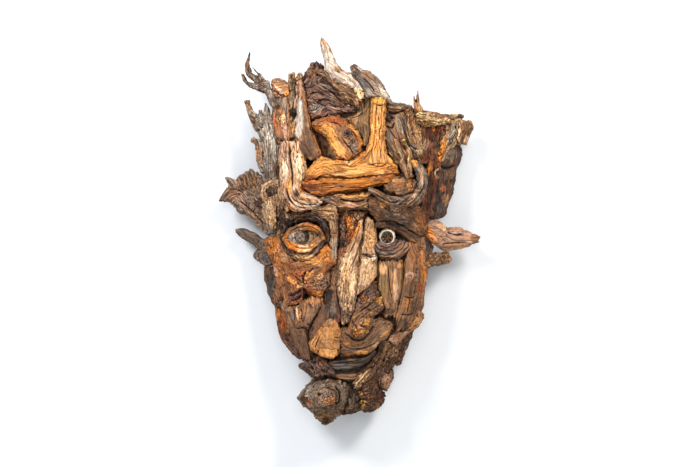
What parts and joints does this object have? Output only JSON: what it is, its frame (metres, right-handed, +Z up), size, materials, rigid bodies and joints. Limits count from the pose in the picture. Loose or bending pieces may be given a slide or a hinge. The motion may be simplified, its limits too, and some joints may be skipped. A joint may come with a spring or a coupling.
{
  "type": "wood face sculpture",
  "caption": "Wall-hung long face assembled from layered driftwood, roots, bark and split boards, with upswept horn-like roots for hair, wooden ears and a burl chin.",
  "frame": {"origin": "middle of the flat back of the middle back log, on the plane of the wall", "axes": "+Z up as it hangs, +Y into the wall, and the face looks along -Y"},
  "size_m": [0.4049, 0.15, 0.6],
  "materials": {
    "back_log_left": "dark brown, dry and grained",
    "back_log_middle": "dark brown, dry and grained",
    "back_log_right": "dark brown, dry and grained",
    "brow_bracket": "weathered silver-grey, dry and grained",
    "brow_right": "brown, dry and grained",
    "brow_strip_centre": "brown, dry and grained",
    "cheek_left_amber": "golden brown, lightly waxed",
    "cheek_left_lower": "brown, dry and grained",
    "cheek_right_board": "pinkish brown, dry and grained",
    "cheek_right_pale": "bleached pale, dry and grained",
    "chin_burl": "dark grey-brown, weathered",
    "chin_knob_right": "dark brown, dry and grained",
    "chin_strip_pale": "pale split wood, dry",
    "crown_block_brown": "dark brown, dry and grained",
    "crown_block_dark": "dark brown, dry and grained",
    "crown_block_knotted": "golden brown, lightly waxed",
    "crown_horn_white": "bleached pale, dry and grained",
    "crown_log_tan": "brown, dry and grained",
    "crown_plank_tan": "brown, dry and grained",
    "crown_root_fork": "dark grey-brown, weathered",
    "crown_sheet_olive": "dark brown, dry and grained",
    "crown_stick_split": "dark brown, dry and grained",
    "crown_twig_fork": "red-brown, worn",
    "crown_wing_grey": "weathered silver-grey, dry and grained",
    "ear_left_blade": "dark grey-brown, weathered",
    "ear_left_fin": "red-brown, worn",
    "ear_left_leaf": "brown, dry and grained",
    "ear_right_lower": "brown, dry and grained",
    "ear_right_spike": "pinkish brown, dry and grained",
    "eye_bag_right": "dark grey-brown, weathered",
    "eye_branch_right": "weathered silver-grey, dry and grained",
    "eye_socket_left": "dark grey-brown, weathered",
    "eyeball_left": "weathered silver-grey, dry and grained",
    "eyelids_left": "golden brown, lightly waxed",
    "forehead_plank": "red-brown, worn",
    "forehead_post": "golden brown, lightly waxed",
    "jaw_left_knob": "dark brown, dry and grained",
    "jaw_left_plate": "brown, dry and grained",
    "jaw_left_strips": "red-brown, worn",
    "jaw_right_board": "dark brown, dry and grained",
    "jaw_right_strip": "pinkish brown, dry and grained",
    "lip_plate_brown": "brown, dry and grained",
    "lip_upper_yellow": "pale split wood, dry",
    "lips_lower": "dark grey-brown, weathered",
    "mouth_plates_dark": "dark brown, dry and grained",
    "nose_board": "pinkish brown, dry and grained",
    "nose_bridge": "red-brown, worn",
    "nose_plates": "pale split wood, dry",
    "nose_wing": "dark brown, dry and grained",
    "side_plank_orange": "pinkish brown, dry and grained",
    "side_slab_dark": "dark brown, dry and grained",
    "side_strips": "red-brown, worn",
    "temple_bark_rust": "red-brown, worn",
    "temple_hook": "pale split wood, dry",
    "temple_lens_knot": "dark brown, dry and grained",
    "temple_panel": "weathered silver-grey, dry and grained",
    "temple_root_hook": "brown, dry and grained",
    "temple_root_pale": "bleached pale, dry and grained",
    "temple_root_silver": "weathered silver-grey, dry and grained",
    "temple_strips_tan": "brown, dry and grained"
  },
  "bodies": {
    "root": {"back_log_left": "back_log_left", "back_log_middle": "back_log_middle", "back_log_right": "back_log_right", "brow_bracket": "brow_bracket", "brow_right": "brow_right", "brow_strip_centre": "brow_strip_centre", "cheek_left_amber": "cheek_left_amber", "cheek_left_lower": "cheek_left_lower", "cheek_right_board": "cheek_right_board", "cheek_right_pale": "cheek_right_pale", "chin_burl": "chin_burl", "chin_knob_right": "chin_knob_right", "chin_strip_pale": "chin_strip_pale", "crown_block_brown": "crown_block_brown", "crown_block_dark": "crown_block_dark", "crown_block_knotted": "crown_block_knotted", "crown_horn_white": "crown_horn_white", "crown_log_tan": "crown_log_tan", "crown_plank_tan": "crown_plank_tan", "crown_root_fork": "crown_root_fork", "crown_sheet_olive": "crown_sheet_olive", "crown_stick_split": "crown_stick_split", "crown_twig_fork": "crown_twig_fork", "crown_wing_grey": "crown_wing_grey", "ear_left_blade": "ear_left_blade", "ear_left_fin": "ear_left_fin", "ear_left_leaf": "ear_left_leaf", "ear_right_lower": "ear_right_lower", "ear_right_spike": "ear_right_spike", "eye_bag_right": "eye_bag_right", "eye_branch_right": "eye_branch_right", "eye_socket_left": "eye_socket_left", "eyeball_left": "eyeball_left", "eyelids_left": "eyelids_left", "forehead_plank": "forehead_plank", "forehead_post": "forehead_post", "jaw_left_knob": "jaw_left_knob", "jaw_left_plate": "jaw_left_plate", "jaw_left_strips": "jaw_left_strips", "jaw_right_board": "jaw_right_board", "jaw_right_strip": "jaw_right_strip", "lip_plate_brown": "lip_plate_brown", "lip_upper_yellow": "lip_upper_yellow", "lips_lower": "lips_lower", "mouth_plates_dark": "mouth_plates_dark", "nose_board": "nose_board", "nose_bridge": "nose_bridge", "nose_plates": "nose_plates", "nose_wing": "nose_wing", "side_plank_orange": "side_plank_orange", "side_slab_dark": "side_slab_dark", "side_strips": "side_strips", "temple_bark_rust": "temple_bark_rust", "temple_hook": "temple_hook", "temple_lens_knot": "temple_lens_knot", "temple_panel": "temple_panel", "temple_root_hook": "temple_root_hook", "temple_root_pale": "temple_root_pale", "temple_root_silver": "temple_root_silver", "temple_strips_tan": "temple_strips_tan"}
  },
  "joints": []
}
